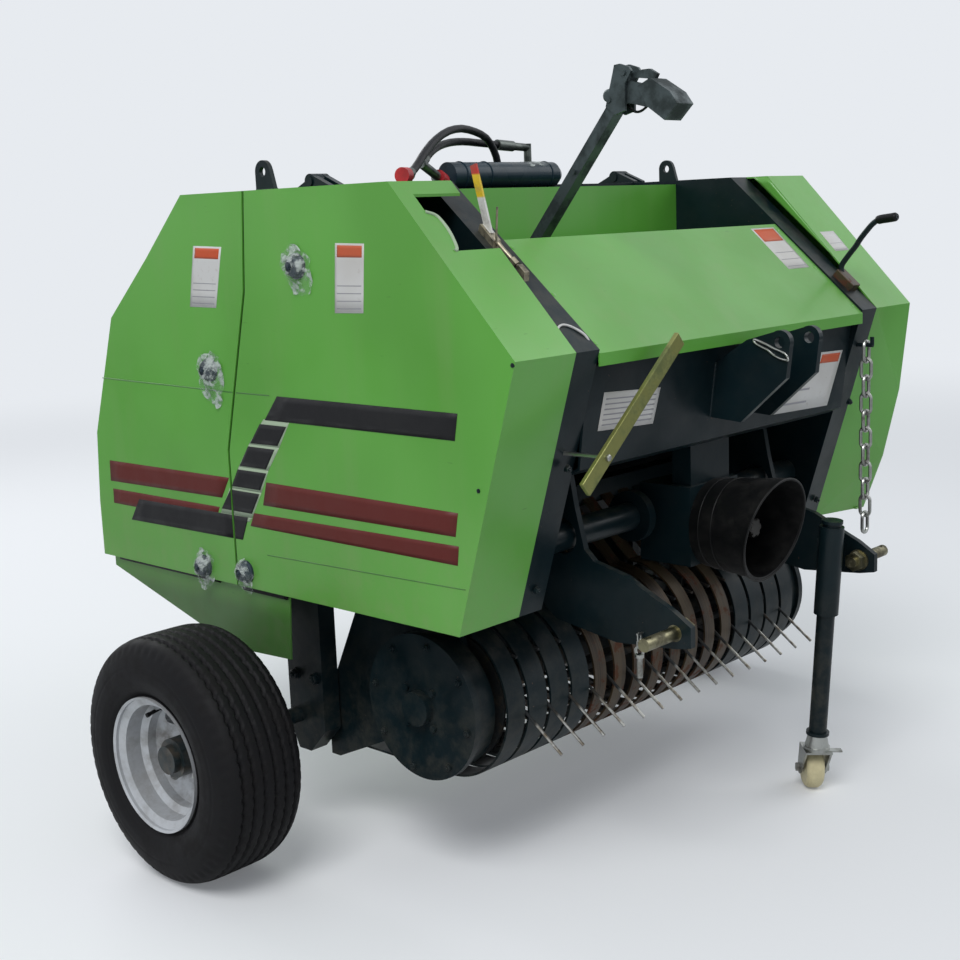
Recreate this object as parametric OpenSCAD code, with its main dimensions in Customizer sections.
// Small trailed round baler for a compact tractor. Millimetres, ground at z = 0,
// hitch end towards -Y, the side with the striped panel towards -X.
// Distances called "back" are measured rearwards from the shields' front corner.

/* [Body] */
// height of the shields' roof above the ground
roof_z = 1184; // [1100:1:1300]
// height of the shields' front corner
corner_z = 920; // [850:1:980]
// height of the shields' lower edge
skirt_z = 488; // [450:1:540]
// back to the front end of the roof
roof_front = 247; // [180:1:320]
// back to the rear end of the roof
roof_rear = 780; // [740:1:840]
// back to the shields' lower front corner
toe_back = 135; // [80:1:180]
// back to the rearmost face of the tailgate
body_len = 1129; // [1080:1:1200]
// half of the width over both shields
shield_hw = 600; // [580:1:640]
// thickness of the shields' sheet
sheet_t = 3; // [2:0.5:4]
// how far the left shield bulges ahead of its lower front slope
left_bulge = 38; // [0:1:45]
// clear gap between the front shields and the tailgate
seam_gap = 6; // [5:0.5:8]

/* [Frame] */
// clear width of the bale chamber
chamber_w = 812; // [780:1:840]
// thickness of the chamber walls
wall_t = 6; // [5:0.5:8]
// width of the square rails round the sides
rail = 50; // [40:1:60]
// back to the front end of the side frames' roof
frame_roof = 298; // [280:1:320]
// wall thickness of the cross tubes
tube_t = 4; // [3:0.5:6]

/* [Hood and twine box] */
// back to the upper edge of the hood
hood_back = 194; // [170:1:215]
// height of the hood's upper edge
hood_top_z = 1088; // [1070:1:1100]
// height of the hood's front edge
lip_z = 914; // [905:1:918]
// depth of the hood's folded lip
lip_drop = 20; // [15:1:30]
// back to the twine box's rear wall
box_back = 437; // [410:1:450]
// height of the twine box's floor
box_floor_z = 1000; // [960:1:1040]
// height of the front plate's lower edge
plate_low_z = 728; // [700:1:760]
// back to the front plate's lower edge
plate_low_back = 50; // [35:1:80]

/* [Wheels] */
// outside diameter of the tyres
tyre_d = 440; // [430:1:460]
// width of the tyres
tyre_w = 176; // [165:1:190]
// diameter over the rims' flanges
rim_d = 240; // [230:1:250]
// half of the distance between the tyres' middles
track_half = 742; // [720:1:760]
// back to the axle
axle_back = 668; // [655:1:675]
// diameter of the stub axles
stub_d = 30; // [25:1:36]
// back to the axle posts' front edge
post_front = 593; // [580:1:610]
// back to the axle posts' rear edge
post_rear = 690; // [680:1:691]
// diameter of the hubs
hub_d = 70; // [60:1:80]

/* [Pickup] */
// back to the reel's axis
reel_back = 322; // [310:1:335]
// height of the reel's axis
reel_z = 310; // [300:1:330]
// radius of the circle of the tine bars
bar_r = 108; // [95:1:112]
// number of tine bars
bar_count = 4; // [3:1:5]
// number of tines on a bar
tine_count = 15; // [13:1:15]
// how far the row of tines reaches past the chamber on each side
pickup_over = 21.5; // [18:0.5:24]
// length of a tine from its bar
tine_len = 135; // [120:1:140]
// thickness of a tine
tine_d = 5.5; // [5:0.5:7]
// angle by which the tines trail their radius
tine_lag = 43; // [35:1:48]
// further angle by which the cam lays the other bars' tines back
tine_tuck = 64; // [55:1:75]
// angle by which the front bar stands above the reel's axis
reel_turn = 6; // [0:1:10]
// outer radius of the stripper bands
band_r = 142; // [136:1:150]
// width of a stripper band
band_w = 32; // [28:1:36]
// half width of the zone with narrow bands
narrow_hw = 228; // [220:1:240]
// width of the slots between the wide bands
slot_w = 10; // [9:0.5:14]
// radius of the end drums
drum_r = 128; // [120:1:135]
// width of an end drum from the middle of its side arm
drum_w = 60.5; // [50:0.5:75]

/* [Hitch] */
// half of the distance between the lower pins' shoulders
pin_hw = 305; // [300:1:306]
// diameter of the lower hitch pins
pin_d = 22; // [21.8:0.1:22.2]
// free length of a lower hitch pin
pin_len = 82; // [75:1:95]
// ahead of the front corner to the lower pins
pin_ahead = 58; // [45:1:70]
// height of the lower pins
pin_z = 456; // [430:1:480]
// ahead of the front corner to the top link pin
link_ahead = 98; // [85:1:100]
// height of the top link pin
link_z = 902; // [890:1:915]
// diameter of the top link pin's holes
link_d = 19.3; // [19.1:0.1:19.6]
// clear gap between the top link ears
ear_gap = 82; // [60:1:90]
// radius of the ears' rounded ends
ear_r = 20; // [18:1:24]

/* [Drive] */
// height of the input shaft
shaft_z = 568; // [550:1:590]
// diameter of the splined input shaft
shaft_d = 35; // [34.9:0.1:35.1]
// ahead of the front corner to the middle of the guard's open end
guard_ahead = 55; // [45:1:65]
// how far the guard's upper edge stands ahead of its lower edge
guard_rake = 46; // [0:1:60]
// radius of the guard's open end
guard_r = 94; // [85:1:98]
// back to the gearbox's front face
box_front = 70; // [60:1:80]
// outside diameter of the cross shaft's tube
cross_d = 50; // [45:1:60]

/* [Jack] */
// outwards from the middle to the jack
jack_x = 225; // [210:1:235]
// ahead of the front corner to the jack's foot
jack_ahead = 2; // [0:1:8]
// angle by which the jack leans to the front
jack_lean = 4; // [0:0.5:5]
// outside diameter of the jack's leg
leg_d = 34; // [30:1:38]
// outside diameter of the jack's sleeve
sleeve_d = 46; // [44:1:52]
// length from the ground to the leg's top end
leg_top = 545; // [535:1:560]
// length from the ground to the sleeve's lower end
sleeve_low = 362; // [350:1:380]
// diameter of the caster's wheel
caster_d = 80; // [75:1:84]
// width of the caster's wheel
caster_w = 34; // [28:1:36]
// length from the ground to the caster's top
caster_h = 118; // [114:1:124]
// angle to which the caster has swung
caster_swing = 46; // [0:1:90]

/* [Tailgate] */
// back to the tailgate's hinge
hinge_back = 603; // [600:1:606]
// height of the tailgate's hinge above the roof
hinge_up = 14; // [12:1:18]
// diameter of the hinge pins
hinge_d = 18; // [16:1:20]

/* [Top fittings] */
// outwards from the middle to the arm
arm_x = -205; // [-230:1:-180]
// length of the arm
arm_len = 386; // [360:1:400]
// forward lean of the arm
arm_lean = 40; // [35:1:45]

/* [Hidden] */
$fn = 48;
fit = 0.05;
ear_t = 12;
front_y = -(body_len - link_ahead - ear_r)/2;
in_hw = chamber_w/2;
tine_pitch = (chamber_w + 2*pickup_over)/tine_count;
wall_hw = in_hw + wall_t;
rail_hw = wall_hw + rail;
hinge_z = roof_z + hinge_up;
green = [0.36, 0.78, 0.22];
dark = [0.06, 0.11, 0.12];
zinc = [0.62, 0.62, 0.58];
black = [0.05, 0.05, 0.05];
rubber = [0.08, 0.08, 0.08];
yellow_zinc = [0.66, 0.56, 0.30];
olive = [0.38, 0.37, 0.27];
seam_top = 602;
seam_mid = 617;
seam_low = 692;
seam_mid_z = roof_z - 169;
seam_low_z = roof_z - 449;
// heights on the shields' lower front slope, with their share of the left shield's bulge
left_steps = [[corner_z - 176, 0.9], [corner_z - 317, 1.15], [skirt_z, 0.95]];
// back to the shields' lower front slope at the height of a step
function slope_b(h) = toe_back*(corner_z - h[0])/(corner_z - skirt_z);

// outline of the front shields, anticlockwise seen from +X, (back, height)
front_prof = [[seam_top - seam_gap/2, roof_z], [roof_front, roof_z], [0, corner_z], [toe_back, skirt_z],
    [seam_low - seam_gap/2, skirt_z], [seam_low - seam_gap/2, seam_low_z], [seam_mid - seam_gap/2, seam_mid_z]];
// outline of the side frames, same sense, with a flatter slope than the shields
frame_prof = concat([front_prof[0], [frame_roof, roof_z]], span(front_prof, 2, 6));
// outline of the left shield, which bulges below its front corner
left_prof = concat(span(front_prof, 0, 2), [for (h = left_steps) [slope_b(h) - left_bulge*h[1], h[0]]], span(front_prof, 4, 6));
// outline of the tailgate, same sense
gate_prof = [[seam_low + seam_gap/2, skirt_z], [body_len, skirt_z], [body_len, skirt_z + 110],
    [body_len - 11, corner_z - 184], [body_len - 96, corner_z + 43], [body_len - 229, roof_z - 109],
    [roof_rear, roof_z], [seam_top + seam_gap/2, roof_z], [seam_mid + seam_gap/2, seam_mid_z],
    [seam_low + seam_gap/2, seam_low_z]];

function unit(v) = v / norm(v);
function inward(a, b) = let(d = unit(b - a)) [-d[1], d[0]];
function inset_pt(a, b, c, t) = let(m = inward(a, b), n = inward(b, c)) b + t*(m + n)/(1 + m*n);
// a ring of points moved inwards by t
function inset(p, t) = let(n = len(p)) [for (i = [0:n-1]) inset_pt(p[(i + n - 1) % n], p[i], p[(i + 1) % n], t)];
function span(p, i, j) = [for (k = [i:j]) p[k]];
function turned(p) = [for (k = [len(p)-1:-1:0]) p[k]];

// a 2D sketch in (back, height) made solid from x0 to x1
module slab(x0, x1) translate([min(x0, x1), front_y, 0]) rotate([90, 0, 90]) linear_extrude(abs(x1 - x0)) children();
// a strip of thickness t inside edges i to j of the outline p
module strip(p, i, j, t) polygon(concat(span(p, i, j), turned(span(inset(p, t), i, j))));
// a round bar along X through (back, height)
module bar_x(x0, x1, b, z, d) translate([min(x0, x1), front_y + b, z]) rotate([0, 90, 0]) cylinder(d = d, h = abs(x1 - x0));
// a round bar along Y from back b0 to b1
module bar_y(x, b0, b1, z, d) translate([x, front_y + b0, z]) rotate([-90, 0, 0]) cylinder(d = d, h = b1 - b0);
// a block given by its low and high corners in (x, back, height)
module block(a, b) translate([a[0], front_y + a[1], a[2]]) cube([b[0] - a[0], b[1] - a[1], b[2] - a[2]]);
// a flat bar in a plane across the machine from (back, height) p to q
module flat2(p, q, w) let(d = unit(q - p), n = [-d[1], d[0]]*w/2) polygon([p + n, p - n, q - n, q + n]);

// side frames: chamber wall with the rail round its edge
module side_frame(s) {
    p = frame_prof;
    slab(s*in_hw, s*wall_hw) polygon(p);
    slab(s*wall_hw, s*rail_hw) strip(p, 0, 3, rail);
    slab(s*wall_hw, s*rail_hw) flat2([toe_back + 20, skirt_z + rail/2], [seam_low - seam_gap, skirt_z + rail/2], rail);
}
module side_frame_right() color(dark) side_frame(-1);
module side_frame_left() color(dark) {
    side_frame(1);
    // hook that carries the chain
    bar_y(chain_x, chain_back - 14, 34, hook_z, hook_d);
    translate([chain_x, front_y + chain_back - 12, hook_z]) cylinder(d = hook_d, h = 16);
}

// cross tubes between the chamber walls
module cross_tube(b, z, w, h) difference() {
    block([-in_hw, b - w/2, z - h/2], [in_hw, b + w/2, z + h/2]);
    block([-in_hw - 1, b - w/2 + tube_t, z - h/2 + tube_t], [in_hw + 1, b + w/2 - tube_t, z + h/2 - tube_t]);
}
front_tube_b = 70;
front_tube_z = lip_z - 55;
top_tube_b = hinge_back - 33;
top_tube_z = roof_z - 25;
floor_tube_b = reel_back + 130;
floor_tube_z = skirt_z + 82;
module cross_tubes() color(dark) {
    cross_tube(front_tube_b, front_tube_z, 50, 50);
    cross_tube(top_tube_b, top_tube_z, 50, 50);
    cross_tube(floor_tube_b, floor_tube_z, 40, 40);
}
// back to the front plate's outer face at height z
function plate_b(z) = 24 + (lip_z - lip_drop - 2 - z)/(lip_z - lip_drop - 2 - plate_low_z)*(plate_low_back - 28);
module front_plate() color(dark) {
    slab(-in_hw, in_hw) polygon([[24, lip_z - lip_drop - 2], [plate_low_back - 4, plate_low_z], [plate_low_back + 22, plate_low_z - 12],
        [plate_low_back + 23, plate_low_z - 8], [plate_low_back, plate_low_z + 3], [28, lip_z - lip_drop - 2]]);
    slab(-in_hw, in_hw) polygon([[27, lip_z - 36], [27, lip_z - 32], [front_tube_b - 25, lip_z - 32], [front_tube_b - 25, lip_z - 36]]);
}

// hood and twine box
module hood() color(green) slab(-in_hw, in_hw)
    polygon([[hood_back, hood_top_z], [0, lip_z], [0, lip_z - lip_drop], [sheet_t, lip_z - lip_drop],
        [sheet_t, lip_z - 2], [hood_back, hood_top_z - sheet_t*1.35], [hood_back + 20, hood_top_z - 30], [hood_back + 20 + sheet_t, hood_top_z - 28], [hood_back + 2, hood_top_z]]);
module twine_box() color(green) {
    slab(-in_hw, in_hw) polygon([[box_back - sheet_t, roof_z - 8], [box_back, roof_z - 8], [box_back, box_floor_z], [110, box_floor_z],
        [110, box_floor_z + sheet_t], [box_back - sheet_t, box_floor_z + sheet_t]]);
}
module roof_sheet() color(dark)
    slab(-in_hw, in_hw) polygon([[box_back, roof_z - 12], [box_back, roof_z - 8], [top_tube_b - 25, roof_z - 8], [top_tube_b - 25, roof_z - 12]]);

// front shields
notch = [[147, 228], 88];
module front_shield(s) difference() {
    union() {
        slab(s*(shield_hw - sheet_t), s*shield_hw) polygon(s < 0 ? front_prof : left_prof);
        slab(s*rail_hw, s*shield_hw) strip(front_prof, 0, s < 0 ? 3 : 2, sheet_t);
        slab(s*(shield_hw - 30), s*shield_hw) strip(s < 0 ? front_prof : left_prof, s < 0 ? 3 : 5, s < 0 ? 4 : 6, sheet_t);
        if (s > 0) bulged_front();
    }
    if (s < 0) block([-shield_hw + 35, notch[0][0], corner_z + 100], [-rail_hw + 1, notch[0][1], roof_z - 8]);
}
// the left shield's front face, from its outer edge back to the rail
module bulged_front() {
    inner = concat([[0, corner_z]], [for (h = left_steps) [slope_b(h), h[0]]]);
    outer = concat([[0, corner_z]], [for (h = left_steps) [slope_b(h) - left_bulge*h[1], h[0]]]);
    for (i = [0:len(inner)-2]) hull() {
        slab(shield_hw - sheet_t, shield_hw) polygon([outer[i], outer[i+1], outer[i+1] + [sheet_t, 0], outer[i] + [sheet_t, 0]]);
        slab(rail_hw, rail_hw + 1) polygon([inner[i], inner[i+1], inner[i+1] + [sheet_t, 0], inner[i] + [sheet_t, 0]]);
    }
}
module shield_front_right() color(green) front_shield(-1);
module shield_front_left() color(green) front_shield(1);

// tailgate, which swings up about the hinge
gate_in = 12;
module gate_frame(s) {
    slab(s*in_hw, s*wall_hw) polygon(gate_prof);
    slab(s*wall_hw, s*rail_hw) strip(gate_prof, 0, 7, rail);
}
module tailgate_frame() color(dark) {
    for (s = [-1, 1]) {
        gate_frame(s);
        // hinge strap
        difference() {
            slab(s*(wall_hw + 14), s*(wall_hw + 26)) union() {
                translate([hinge_back, hinge_z]) circle(d = 2*hinge_up - 1);
                polygon([[hinge_back, hinge_z + hinge_up - 0.5], [hinge_back + 55, roof_z + 3], [hinge_back + 55, roof_z - 4],
                    [hinge_back + 8, roof_z - 4], [hinge_back, hinge_z]]);
            }
            bar_x(s*(wall_hw + 10), s*(wall_hw + 30), hinge_back, hinge_z, hinge_d + 2*fit);
        }
    }
}
module tailgate_cover() color(green) slab(-in_hw, in_hw) strip(gate_prof, 0, 7, sheet_t);
module gate_shield(s) {
    slab(s*(shield_hw - sheet_t), s*shield_hw) polygon(gate_prof);
    slab(s*rail_hw, s*shield_hw) strip(gate_prof, 1, 7, sheet_t);
}
module shield_tailgate_right() color(green) gate_shield(-1);
module shield_tailgate_left() color(green) gate_shield(1);
// lower side panels of the tailgate
module skirt(s) {
    slab(s*(shield_hw - 18), s*(shield_hw - 15)) polygon([[565, skirt_z - 6], [572, skirt_z - 122], [700, skirt_z - 128],
        [815, skirt_z - 108], [body_len - 14, skirt_z - 24], [body_len - 14, skirt_z + 30], [seam_low + 12, skirt_z + 30], [seam_low + 12, skirt_z - 6]]);
    slab(s*(shield_hw - 16), s*(shield_hw - sheet_t)) polygon([[760, skirt_z + 8], [1080, skirt_z + 8], [1080, skirt_z + 28], [760, skirt_z + 28]]);
}
module skirts() color(green) for (s = [-1, 1]) skirt(s);

// hinge ears on the frame, with the pins, and the lifting lugs
module hinge_ears() color(dark) for (s = [-1, 1]) {
    for (x = [[wall_hw + 1, wall_hw + 13], [wall_hw + 27, wall_hw + 39]]) slab(s*x[0], s*x[1]) union() {
        translate([hinge_back, hinge_z]) circle(d = 2*hinge_up - 1);
        polygon([[hinge_back, hinge_z + hinge_up - 0.5], [hinge_back - 55, roof_z + 4], [hinge_back - 55, roof_z],
            [hinge_back - 8, roof_z], [hinge_back, hinge_z]]);
    }
    bar_x(s*(wall_hw - 2), s*(wall_hw + 42), hinge_back, hinge_z, hinge_d);
}
lug_x = shield_hw - 32;
lug_r = 19;
lug_back = seam_top - seam_gap/2 - lug_r - 4;
lug_eye_z = roof_z + 30;
lug_eye_d = 16;
module lugs() color(dark) for (s = [-1, 1]) slab(s*lug_x, s*(lug_x + 8)) difference() {
    union() {
        translate([lug_back, lug_eye_z]) circle(r = lug_r);
        polygon([[lug_back - lug_r - 10, roof_z], [lug_back + lug_r, roof_z], [lug_back + lug_r, lug_eye_z], [lug_back - lug_r, lug_eye_z + 4]]);
    }
    translate([lug_back, lug_eye_z]) circle(d = lug_eye_d);
}

// axle posts, stub axles and the beam under the floor
post_hw = rail_hw + 16;
beam_b = post_rear - 38;
module axle_beam() color(dark) {
    for (s = [-1, 1]) {
        slab(s*(post_hw - 16), s*(post_hw + 22)) polygon([[post_front, skirt_z + 60], [post_rear, skirt_z + 60],
            [post_rear, tyre_d/2 - 24], [post_rear - 20, tyre_d/2 - 66], [post_front + 44, tyre_d/2 - 66], [post_front, tyre_d/2 - 20]]);
        bar_x(s*(post_hw + 20), s*(track_half + 29), axle_back, tyre_d/2, stub_d);
    }
    difference() {
        block([-post_hw + 16, beam_b - 30, skirt_z - 62], [post_hw - 16, beam_b + 30, skirt_z - 2]);
        block([-post_hw + 15, beam_b - 30 + tube_t, skirt_z - 62 + tube_t], [post_hw - 15, beam_b + 30 - tube_t, skirt_z - 2 - tube_t]);
    }
}

// wheels
module wheel_at(s) translate([s*track_half, front_y + axle_back, tyre_d/2]) rotate([0, s*90, 0]) children();
bead_r = rim_d/2;
// half section of the tyre's outside: share of the half width, share of the height above the bead
tyre_round = [[0.83, 0], [0.93, 0.12], [0.995, 0.3], [1, 0.45], [0.97, 0.62], [0.89, 0.78], [0.76, 0.9], [0.56, 0.97], [0.3, 1]];
module tyre() {
    r = tyre_d/2; w = tyre_w/2; h = r - bead_r;
    outside = [for (p = tyre_round) [bead_r + 1 + p[1]*(h - 1), p[0]*w]];
    rotate_extrude($fn = 72) polygon(concat([[bead_r - 13, rim_hw - 12], [bead_r + 1, rim_hw - 3.5]], outside,
        [for (p = turned(outside)) [p[0], -p[1]]], [[bead_r + 1, -rim_hw + 3.5], [bead_r - 13, -rim_hw + 12]]));
}
module tyre_right() color(rubber) wheel_at(-1) tyre();
module tyre_left() color(rubber) wheel_at(1) tyre();
rim_hw = tyre_w/2 - 8;
dish = 16;
module rim() difference() {
    union() {
        // flanges, bead seats and the drop in the middle of the barrel
        rotate_extrude($fn = 72) polygon([[bead_r - 17, -rim_hw + 12], [bead_r - 4, -rim_hw + 6], [bead_r - 4, -rim_hw], [bead_r, -rim_hw - 3], [bead_r, -rim_hw + 3],
            [bead_r - 14, -rim_hw + 12], [bead_r - 14, -36], [bead_r - 24, -28], [bead_r - 24, 28], [bead_r - 14, 36],
            [bead_r - 14, rim_hw - 12], [bead_r, rim_hw - 3], [bead_r, rim_hw + 3], [bead_r - 4, rim_hw], [bead_r - 4, rim_hw - 6], [bead_r - 17, rim_hw - 12],
            [bead_r - 17, 38], [bead_r - 28, 30], [bead_r - 28, -30], [bead_r - 17, -38]]);
        // dished wheel disc, hub and its cap
        rotate_extrude($fn = 72) polygon([[hub_d/2 - 2, -dish - 2], [hub_d/2 + 18, -dish - 2], [bead_r - 44, dish - 16], [bead_r - 27, dish - 8],
            [bead_r - 27, dish - 3], [bead_r - 46, dish - 10], [hub_d/2 + 16, -dish + 4], [hub_d/2 - 2, -dish + 4]]);
        translate([0, 0, -56]) cylinder(d = hub_d, h = 98);
        translate([0, 0, 41]) cylinder(d = hub_d - 20, h = 14);
    }
    translate([0, 0, -57]) cylinder(d = stub_d + 2*fit, h = 30 + 57);
    for (k = [0:3]) rotate([0, 0, 45 + 90*k]) translate([72, 0, -dish - 10]) cylinder(d = 24, h = 2*dish + 20, $fn = 24);
}
module rim_right() color(zinc) wheel_at(-1) rim();
module rim_left() color(zinc) wheel_at(1) rim();

// pickup: reel with its tines, stripper bands, end drums and arms
reel_hw = tine_pitch*tine_count/2 + 2;
module at_reel() translate([0, front_y + reel_back, reel_z]) children();
shaft_core = 30;
module pickup_reel() color(zinc) at_reel() rotate([-reel_turn, 0, 0]) {
    rotate([0, 90, 0]) cylinder(d = shaft_core + 10, h = 2*reel_hw, center = true);
    rotate([0, 90, 0]) cylinder(d = shaft_core, h = 2*arm_hw + 7, center = true);
    for (x = [-reel_hw + 3, tine_pitch/2, reel_hw - 3]) translate([x, 0, 0]) rotate([0, 90, 0]) cylinder(r = bar_r + 8, h = 5, center = true);
    // the front bar's tines stand out, the others are laid back by the cam
    for (k = [0:bar_count-1]) rotate([360/bar_count*k, 0, 0]) translate([0, -bar_r, 0]) {
        rotate([0, 90, 0]) cylinder(d = 14, h = 2*reel_hw, center = true, $fn = 12);
        for (i = [0:tine_count-1]) translate([(i - (tine_count - 1)/2)*tine_pitch, 0, 0])
            rotate([90 + tine_lag + (k == 0 ? 0 : tine_tuck), 0, 0]) cylinder(d = tine_d, h = tine_len, $fn = 6);
    }
}
band_t = 4;
band_in = band_r - band_t;
rail_b = axle_back - 62;
// one band round the reel's front, from x0 to x1, with or without its upper leg
module band(x0, x1, leg) {
    at_reel() translate([x0, 0, 0]) rotate([0, 90, 0]) rotate([0, 0, 180])
        rotate_extrude(angle = 180, $fn = 60) translate([band_in, 0]) square([band_t, x1 - x0]);
    block([x0, reel_back - 1, reel_z - band_r], [x1, rail_b + 24, reel_z - band_in]);
    if (leg) slab(x0, x1) polygon([[reel_back - 1, reel_z + band_in], [reel_back - 1, reel_z + band_r],
        [floor_tube_b - 20, floor_tube_z - 10], [floor_tube_b - 20, floor_tube_z - 15]]);
}
module stripper_bands() color(olive) {
    for (i = [0:tine_count]) let(x = (i - tine_count/2)*tine_pitch) if (abs(x) < narrow_hw) band(x - band_w/2, x + band_w/2, true);
    // rail that carries the bands' rear ends
    block([-arm_hw + 4, rail_b, reel_z - band_r - 30], [arm_hw - 4, rail_b + 24, reel_z - band_r]);
}
arm_hw = reel_hw + 22;
drum_hw = arm_hw + drum_w;
module pickup_frame() color(dark) for (s = [-1, 1]) {
    // side arm from the chamber wall down to the reel's bearing
    difference() {
        slab(s*(arm_hw - 4), s*(arm_hw + 4)) polygon([[reel_back - 70, reel_z - 40], [reel_back - 70, reel_z + 60], [reel_back - 30, skirt_z],
            [reel_back + 190, skirt_z], [rail_b + 24, reel_z - 60], [rail_b + 24, reel_z - band_r - 30], [rail_b, reel_z - band_r - 30], [reel_back + 40, reel_z - 60]]);
        bar_x(s*(arm_hw - 6), s*(arm_hw + 6), reel_back, reel_z, shaft_core + 2*fit);
    }
    // drum over the bearing and the drive, with its end plate
    difference() {
        union() {
            bar_x(s*(arm_hw + 4), s*(drum_hw - 13), reel_back, reel_z, 2*drum_r - 16);
            bar_x(s*(drum_hw - 14), s*drum_hw, reel_back, reel_z, 2*drum_r);
        }
        bar_x(s*(arm_hw + 3), s*(drum_hw - 4), reel_back, reel_z, 2*drum_r - 24);
    }
    bar_x(s*(arm_hw + 4), s*(drum_hw + 16), reel_back, reel_z, 60);
    for (k = [0:3]) bar_x(s*(drum_hw - 2), s*(drum_hw + 6), reel_back + 44*cos(90*k + 45), reel_z + 44*sin(90*k + 45), 12);
}
// wide bands that close the reel's ends, slotted for the tines
module pickup_covers() color(dark) for (s = [-1, 1], i = [ceil((tine_count + 1)/2):tine_count]) let(x = (i - tine_count/2)*tine_pitch)
    if (x > narrow_hw) let(a = x - tine_pitch/2 + slot_w/2, b = i == tine_count ? arm_hw - 4 : x + tine_pitch/2 - slot_w/2)
        band(s > 0 ? a : -b, s > 0 ? b : -a, b < in_hw - 4);

// hitch: plates on the front posts, pins, top link ears
plate_in = pin_hw - ear_t;
cross_back = box_front + 102;
cross_z = shaft_z + 20;
module hitch_plate(s) {
    difference() {
        slab(s*plate_in, s*pin_hw) polygon([[230, 760], [165, 760], [142, 640], [124, 570], [104, 552], [37, 536], [-9, 513], [-55, 492],
            [-90, 470], [-90, 436], [-60, 430], [60, 420], [190, 440], [230, 470]]);
        bar_x(s*(plate_in - 2), s*(pin_hw + 2), -pin_ahead, pin_z, pin_d + 6);
        bar_x(s*(plate_in - 2), s*(pin_hw + 2), cross_back, cross_z, cross_d + 12);
    }
    // gussets out to the chamber wall
    block([s > 0 ? pin_hw : -in_hw, 200, 690], [s > 0 ? in_hw : -pin_hw, 212, 760]);
    block([s > 0 ? pin_hw : -in_hw, 200, skirt_z + 44], [s > 0 ? in_hw : -pin_hw, 212, skirt_z + 104]);
}
module hitch_plates() color(dark) for (s = [-1, 1]) hitch_plate(s);
module hitch_pins() color(yellow_zinc) for (s = [-1, 1]) difference() {
    union() {
        bar_x(s*pin_hw, s*(pin_hw + pin_len), -pin_ahead, pin_z, pin_d);
        bar_x(s*plate_in, s*pin_hw, -pin_ahead, pin_z, pin_d + 6);
        // washer, nut and thread end on the plate's inner face
        bar_x(s*(plate_in - 4), s*plate_in, -pin_ahead, pin_z, 2*pin_d - 4);
        translate([s*(plate_in - 4), front_y - pin_ahead, pin_z]) rotate([0, -s*90, 0]) cylinder(d = 38, h = 18, $fn = 6);
        bar_x(s*(plate_in - 30), s*plate_in, -pin_ahead, pin_z, pin_d - 2);
    }
    translate([s*(pin_hw + pin_len - 12), front_y - pin_ahead, pin_z]) cylinder(d = 10, h = 2*pin_d, center = true);
}
// linch pins hanging on a short chain from a staple in the plate, pulled out of the hitch pins
staple_b = 6;
staple_z = pin_z - 10;
module linch_pins() color(zinc) for (s = [-1, 1]) let(x = s < 0 ? -pin_hw : plate_in) {
    bar_x(x, x - 14, staple_b, staple_z, 4);
    translate([x - 9, front_y + staple_b, staple_z]) {
        for (i = [0, 1]) translate([0, 0, -5.2 - 12.5*i]) rotate([0, 0, 90*i]) rotate([90, 0, 0]) small_link();
        translate([0, 0, -29]) rotate([90, 0, 90]) translate([0, 0, -2]) rotate_extrude($fn = 32) translate([6, 0]) square([3, 4]);
        translate([0, 0, -74]) cylinder(d = 10 - 2*fit, h = 38);
        translate([0, 0, -40]) cylinder(d = 15, h = 6);
    }
}
module top_link_ears() color(dark) for (s = [-1, 1]) difference() {
    slab(s*ear_gap/2, s*(ear_gap/2 + ear_t)) union() {
        translate([-link_ahead, link_z]) circle(r = ear_r);
        polygon([[-link_ahead, link_z + ear_r], [-link_ahead + 64, link_z + 2], [plate_b(lip_z - 50), lip_z - 50], [plate_b(plate_low_z + 40), plate_low_z + 40],
            [-link_ahead + 77, link_z - 139], [-link_ahead - 12, link_z - 60], [-link_ahead - ear_r + 1, link_z - 6]]);
    }
    bar_x(s*(ear_gap/2 - 2), s*(ear_gap/2 + ear_t + 2), -link_ahead, link_z, link_d);
}

// drive: gearbox, cross shaft tube, splined shaft and its guard
module gearbox() color(dark) {
    difference() {
        block([-75, box_front, shaft_z - 68], [75, cross_back + 8, shaft_z + 75]);
        bar_y(0, box_front - 1, box_front + 40, shaft_z, shaft_d + 10);
    }
    bar_x(-in_hw, -60, cross_back, cross_z, cross_d);
    bar_x(-118, -100, cross_back, cross_z, cross_d + 42);
    bar_x(60, in_hw, cross_back, cross_z, cross_d);
    block([-60, box_front + 8, shaft_z + 74], [60, box_front + 48, front_tube_z - 25]);
}
module pto_shaft() color(zinc) difference() {
    union() {
        bar_y(0, -pin_ahead + 40, box_front + 39, shaft_z, shaft_d);
        bar_y(0, box_front + 1, box_front + 30, shaft_z, shaft_d + 10 - 2*fit);
    }
}
guard_len = guard_ahead + guard_rake/2 + box_front;
module pto_guard() color(black) difference() {
    translate([0, front_y + box_front - guard_len, shaft_z]) rotate([-90, 0, 0]) difference() {
        cylinder(r1 = guard_r, r2 = guard_r - 14, h = guard_len);
        translate([0, 0, -1]) cylinder(r1 = guard_r - 4, r2 = guard_r - 18, h = guard_len - 5);
        cylinder(r = shaft_d/2 + 12, h = guard_len + 1);
    }
    // raked opening, its upper edge ahead of the lower one
    slab(-guard_r - 1, guard_r + 1) polygon([[-guard_ahead - guard_rake, shaft_z + guard_r + 1], [-guard_ahead - guard_rake/2, shaft_z + guard_r + 1],
        [-guard_ahead + guard_rake/2, shaft_z - guard_r - 1], [-guard_ahead - guard_rake, shaft_z - guard_r - 1]]);
}

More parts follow.
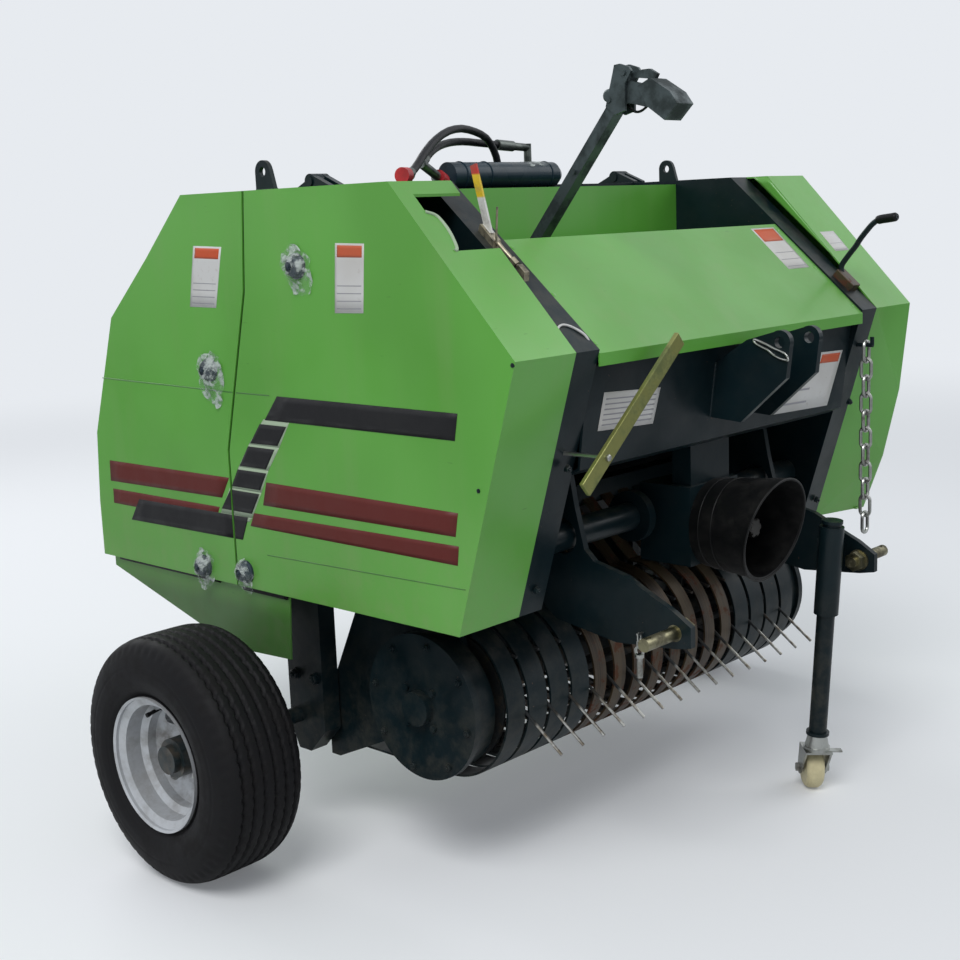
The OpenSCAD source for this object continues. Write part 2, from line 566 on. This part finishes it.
// jack: sleeve on the left hitch plate, leg, caster, along the leaning axis
module on_jack() translate([jack_x, front_y - jack_ahead, 0]) rotate([jack_lean, 0, 0]) children();
module jack_sleeve() color(dark) on_jack() {
    difference() {
        translate([0, 0, sleeve_low]) cylinder(d = sleeve_d, h = leg_top - 12 - sleeve_low);
        translate([0, 0, sleeve_low - 1]) cylinder(d = leg_d + 1, h = leg_top);
    }
    // web out to the hitch plate
    translate([sleeve_d/2 - 1.5, 6, pin_z - 18]) cube([plate_in - jack_x - sleeve_d/2 + 1.5, 10, 54]);
}
module jack_leg() color(dark) on_jack() {
    translate([0, 0, caster_h]) cylinder(d = leg_d, h = leg_top - caster_h);
    translate([0, 0, caster_h]) cylinder(d = leg_d + 10, h = 6);
    translate([0, 0, leg_top - 6]) cylinder(d = leg_d + 6, h = 6);
}
caster_trail = 22;
fork_in = caster_w/2 + 5;
axle_h = (caster_d/2 - caster_trail*cos(caster_swing)*sin(jack_lean))/cos(jack_lean);
crown_h = axle_h + caster_d/2 + 5;
module on_caster() on_jack() rotate([0, 0, -caster_swing]) children();
module caster_fork() color(zinc) on_caster() {
    // domed ball race and the crown plate under it
    translate([0, 0, crown_h + 3.5]) cylinder(d = 50, h = 7);
    translate([0, 0, crown_h + 10]) cylinder(r1 = 23, r2 = 18, h = caster_h - crown_h - 10.5);
    translate([-fork_in - 4, -24, crown_h]) cube([2*fork_in + 8, 24 + caster_trail + 8, 4]);
    for (s = [-1, 1]) translate([s > 0 ? fork_in : -fork_in - 4, 0, 0]) rotate([90, 0, 90]) linear_extrude(4)
        polygon([[-22, crown_h + 2], [caster_trail + 8, crown_h + 2], [caster_trail + 12, axle_h - 6], [caster_trail + 5, axle_h - 12],
            [caster_trail - 5, axle_h - 12], [caster_trail - 12, axle_h - 4]]);
    translate([-fork_in - 10, caster_trail, axle_h]) rotate([0, 90, 0]) cylinder(d = 10, h = 2*fork_in + 20);
    for (s = [-1, 1]) translate([s*(fork_in + 4), caster_trail, axle_h]) rotate([0, s*90, 0]) cylinder(d = 18, h = 6, $fn = 6);
    // pedal of the brake
    translate([fork_in - 4, -18, crown_h + 4 - 1]) cube([28, 14, 3]);
}
module caster_wheel() color([0.85, 0.82, 0.68]) on_caster() translate([0, caster_trail, axle_h]) rotate([0, 90, 0]) difference() {
    rotate_extrude($fn = 64) polygon([[3, -caster_w/2], [caster_d/2 - 8, -caster_w/2], [caster_d/2 - 3.5, -caster_w/2 + 3], [caster_d/2 - 0.6, -caster_w/4],
        [caster_d/2, 0], [caster_d/2 - 0.6, caster_w/4], [caster_d/2 - 3.5, caster_w/2 - 3], [caster_d/2 - 8, caster_w/2], [3, caster_w/2]]);
    cylinder(d = 10 + 2*fit, h = caster_w + 2, center = true);
}

// fittings on the front
rest_x = -rail_hw + 25;
rest_z = corner_z - 160;
rest_turn = 39.7;
rest_len = 322;
module shaft_rest() color(olive) {
    bar_y(rest_x, -40, 56, rest_z, 14);
    translate([rest_x, front_y - 34, rest_z]) rotate([0, -rest_turn, 0]) translate([-66, 0, -13]) cube([rest_len, 8, 26]);
}
chain_x = wall_hw + 14;
chain_top = corner_z - 82;
chain_back = 2;
link_in = 34;
link_wire = 7;
link_n = 11;
module link() for (s = [0, 1]) rotate([0, 0, 180*s]) {
    translate([0, link_in/2 - 7, 0]) rotate_extrude(angle = 180, $fn = 16) translate([10.5, 0]) circle(d = link_wire, $fn = 8);
    translate([10.5, -link_in/2 + 7, 0]) rotate([-90, 0, 0]) cylinder(d = link_wire, h = link_in - 14, $fn = 8);
}
module chain() color(zinc) for (i = [0:link_n-1])
    translate([chain_x, front_y + chain_back, chain_top - link_in*i]) rotate([0, 0, i % 2 == 0 ? 0 : 90]) rotate([90, 0, 0]) link();
hook_d = 8;
hook_z = chain_top + link_in/2 - hook_d/2 - 0.3;
module small_link() for (s = [0, 1]) rotate([0, 0, 180*s]) {
    translate([0, 3, 0]) rotate_extrude(angle = 180, $fn = 16) translate([4.2, 0]) circle(d = 2.6, $fn = 8);
    translate([4.2, -3, 0]) rotate([-90, 0, 0]) cylinder(d = 2.6, h = 6, $fn = 8);
}
// height of the frame's slope at a distance back
function slope_z(b) = corner_z + b*(roof_z - corner_z)/frame_roof;
crank_x = wall_hw + 24;
module crank_lever() color(dark) {
    slab(crank_x - 16, crank_x + 16) polygon([[34, slope_z(34)], [78, slope_z(78)], [66, slope_z(78) + 14], [26, slope_z(34) + 20]]);
    slab(crank_x - 5, crank_x + 5) union() {
        flat2([50, slope_z(50) + 8], [33, corner_z + 124], 12);
        flat2([33, corner_z + 120], [-11, corner_z + 171], 12);
        flat2([-14, corner_z + 171], [-54, corner_z + 181], 12);
    }
}
flag_x = -wall_hw - 24;
flag_b = 192;
module indicator() color([0.85, 0.2, 0.1]) {
    slab(flag_x - 2, flag_x + 2) flat2([flag_b + 29, roof_z + 23], [flag_b, slope_z(flag_b) + 8], 13);
    // clamp on the rail's slope, with the rod of the tension gauge and its needle
    slab(flag_x - 9, flag_x + 9) polygon([[flag_b - 16, slope_z(flag_b - 16)], [flag_b + 16, slope_z(flag_b + 16)],
        [flag_b + 12, slope_z(flag_b + 12) + 14], [flag_b - 16, slope_z(flag_b - 16) + 12]]);
    slab(flag_x - 6, flag_x + 6) polygon([[flag_b - 74, slope_z(flag_b - 74)], [flag_b - 60, slope_z(flag_b - 60)],
        [flag_b - 62, slope_z(flag_b - 60) + 14], [flag_b - 76, slope_z(flag_b - 74) + 14]]);
    along([flag_x, flag_b - 72, slope_z(flag_b - 72) + 9], [flag_x, flag_b - 10, slope_z(flag_b - 10) + 9]) cylinder(d = 7, h = $len);
    along([flag_x, flag_b - 56, slope_z(flag_b - 56) + 9], [flag_x, flag_b - 46, slope_z(flag_b - 46) + 9]) cylinder(d = 13, h = $len, $fn = 6);
    along([flag_x - 5, flag_b - 18, slope_z(flag_b - 16) + 8], [flag_x - 5, flag_b - 23, slope_z(flag_b) + 50]) cylinder(d = 3.5, h = $len);
}
// children stand along the way from p to q, which are (x, back, height), with its length in $len
module along(p, q) {
    d = q - p; $len = norm(d);
    translate([p[0], front_y + p[1], p[2]]) rotate([0, acos(d[2]/$len), atan2(d[1], d[0])]) children();
}
arm_back = 356;
arm_w = 24;
arm_foot_z = box_floor_z + sheet_t;
// back and height of the arm's upper end
arm_end = [arm_back - (arm_len + 4)*sin(arm_lean), arm_foot_z + (arm_len + 4)*cos(arm_lean)];
module arm() color(olive) {
    // channel bar, open to the rear
    translate([arm_x, front_y + arm_back, arm_foot_z]) rotate([arm_lean, 0, 0]) difference() {
        translate([-arm_w/2, -10, 14]) cube([arm_w, 20, arm_len - 10]);
        translate([-arm_w/2 + 4, -6, 13]) cube([arm_w - 8, 20, arm_len - 8]);
    }
    block([arm_x - 24, arm_back - 26, arm_foot_z], [arm_x + 24, arm_back + 26, arm_foot_z + 8]);
    for (s = [-1, 1]) slab(arm_x + s*(arm_w/2 + 0.5), arm_x + s*(arm_w/2 + 5)) polygon([[arm_back - 22, arm_foot_z], [arm_back + 22, arm_foot_z], [arm_back - 6, arm_foot_z + 44], [arm_back - 36, arm_foot_z + 40]]);
    bar_x(arm_x - arm_w/2 - 8, arm_x + arm_w/2 + 8, arm_back - 16, arm_foot_z + 22, 10);
    bar_x(arm_x - arm_w/2 - 6, arm_x + arm_w/2 + 8, arm_end[0] + 90, arm_end[1] - 108, 9);
    // head: clevis cheeks, link, guide block, knob and stay
    for (s = [-1, 1]) slab(arm_x + s*(arm_w/2 - 2), arm_x + s*(arm_w/2 + 3)) at_end()
        polygon([[19, -8], [3, 45], [0, 56], [-11, 57], [-29, 51], [-34, 44], [-21, 25], [-20, -17], [0, -22]]);
    slab(arm_x - 8, arm_x + 8) at_end() polygon([[2, 12], [-21, 30], [-58, 21], [-72, -10], [-57, -14], [-23, -5], [0, -8]]);
    slab(arm_x - 22, arm_x + 22) at_end() polygon([[-51, 18], [-76, 29], [-114, 5], [-128, -14], [-103, -38], [-69, -14]]);
    slab(arm_x - 4, arm_x + 4) at_end() polygon([[-24, 40], [-48, 45], [-62, 45], [-77, 36], [-70, 24], [-58, 30], [-30, 34]]);
    bar_x(arm_x - arm_w/2 - 6, arm_x + arm_w/2 + 6, arm_end[0] - 19, arm_end[1] + 42, 9);
    bar_x(arm_x - arm_w/2 - 5, arm_x + arm_w/2 + 5, arm_end[0] + 12, arm_end[1] + 2, 9);
    translate([arm_x, front_y + arm_end[0] + 21, arm_end[1] + 10]) rotate([0, 90, 0]) rotate_extrude() polygon([[0, -9], [7, -9], [10, -6], [11.5, 0], [10, 6], [7, 9], [0, 9]]);
}
module at_end() translate(arm_end) children();
canister_d = 48;
canister_b = box_back + canister_d/2 + 6;
canister_x = [-245, 42];
on_roof = roof_z - 8;
module canister() color(black) {
    bar_x(canister_x[0], canister_x[1], canister_b, on_roof + canister_d/2, canister_d);
    translate([canister_x[1], front_y + canister_b, on_roof + canister_d/2]) rotate([0, 90, 0]) cylinder(d1 = canister_d, d2 = canister_d - 18, h = 14);
}

// hoses that arch over the roof, as (x, back, height)
hose_outer_way = [[-67, 504, 1196], [-67, 504, 1209], [-69, 504, 1222], [-74, 503, 1236], [-83, 501, 1249], [-96, 497, 1260], [-112, 492, 1269],
    [-131, 487, 1275], [-153, 481, 1279], [-177, 475, 1282], [-202, 468, 1283], [-227, 460, 1281], [-252, 451, 1277], [-277, 443, 1270],
    [-301, 435, 1261], [-324, 426, 1251], [-345, 417, 1240], [-365, 408, 1229], [-383, 399, 1218], [-400, 391, 1209], [-416, 383, 1203]];
hose_inner_way = [[-50, 522, 1259], [-68, 522, 1260], [-88, 521, 1261], [-110, 519, 1262], [-134, 515, 1263], [-158, 509, 1263], [-182, 502, 1262],
    [-206, 494, 1260], [-229, 485, 1257], [-252, 475, 1253], [-274, 464, 1248], [-294, 454, 1242], [-312, 445, 1235], [-327, 437, 1228]];
hose_d = 14;
hose_sides = 10;
// a tube of n sides along the way w, its rings square to the way
module hose(w, d, n) {
    m = len(w);
    pts = [for (i = [0:m-1]) let(t = unit(w[min(i + 1, m - 1)] - w[max(i - 1, 0)]), u = unit(cross(t, [0.36, -0.93, 0.1])), v = cross(t, u))
        for (k = [0:n-1]) w[i] + d/2*(cos(360*k/n)*u + sin(360*k/n)*v)];
    polyhedron(pts, concat([turned([for (k = [0:n-1]) k])], [[for (k = [0:n-1]) (m - 1)*n + k]],
        [for (i = [0:m-2], k = [0:n-1]) [i*n + k, i*n + (k + 1) % n, (i + 1)*n + (k + 1) % n, (i + 1)*n + k]]));
}
// direction in which a way leaves its first point backwards, and in which it ends
function start_dir(w) = unit(w[0] - w[1]);
function end_dir(w) = unit(w[len(w) - 1] - w[len(w) - 2]);
module hose_outer() color(black) translate([0, front_y, 0]) hose(hose_outer_way, hose_d, hose_sides);
module hose_inner() color(black) translate([0, front_y, 0]) hose(hose_inner_way, hose_d, hose_sides);
// fittings: roof stud, plug on the rail, grey pipe with its elbow, plug with an elbow
module hose_fittings() color([0.3, 0.3, 0.28]) {
    let(p = hose_outer_way[0]) {
        along([p[0], p[1], on_roof], [p[0], p[1], on_roof + 8]) cylinder(d = 20, h = $len, $fn = 6);
        along([p[0], p[1], on_roof + 7], p) cylinder(d = hose_d + 3, h = $len);
    }
    let(q = hose_outer_way[len(hose_outer_way) - 1], e = q + 12.4*end_dir(hose_outer_way), c = [-wall_hw - 31, e[1] - 4, roof_z + 13.5]) {
        along(q, e) cylinder(d = hose_d + 3, h = $len);
        along(e + [3, 1, 1], c) cylinder(d = 21, h = $len);
        along(c + [10, 3, 0], c + [-6, -2, 0]) cylinder(d = 27, h = $len);
    }
    let(p = hose_inner_way[0], d = start_dir(hose_inner_way), e = p + 88*d) {
        along(p, p + 44*d) cylinder(d = 20, h = $len);
        along(p + 40*d, e) cylinder(d = 15, h = $len);
        along([e[0], e[1], on_roof], [e[0], e[1], e[2] + 7.5]) cylinder(d = 15, h = $len);
        along([e[0], e[1], on_roof], [e[0], e[1], on_roof + 10]) cylinder(d = 24, h = $len, $fn = 6);
    }
    let(q = hose_inner_way[len(hose_inner_way) - 1], e = q + 25*end_dir(hose_inner_way), c = [canister_x[0] - 16, canister_b - 6, on_roof + 14.6]) {
        along(q, e) cylinder(d = hose_d + 2, h = $len);
        along(e - 3*unit(c - e), c - 24*unit(c - e)) cylinder(d = hose_d + 2, h = $len);
        along(c - 26*unit(c - e), c) cylinder(d = 26, h = $len);
    }
}

side_frame_right();
side_frame_left();
cross_tubes();
front_plate();
hood();
twine_box();
roof_sheet();
shield_front_right();
shield_front_left();
tailgate_frame();
tailgate_cover();
shield_tailgate_right();
shield_tailgate_left();
skirts();
hinge_ears();
lugs();
axle_beam();
tyre_right();
tyre_left();
rim_right();
rim_left();
pickup_reel();
stripper_bands();
pickup_frame();
pickup_covers();
hitch_plates();
hitch_pins();
linch_pins();
top_link_ears();
gearbox();
pto_shaft();
pto_guard();
jack_sleeve();
jack_leg();
caster_fork();
caster_wheel();
shaft_rest();
chain();
crank_lever();
indicator();
arm();
canister();
hose_fittings();
hose_outer();
hose_inner();
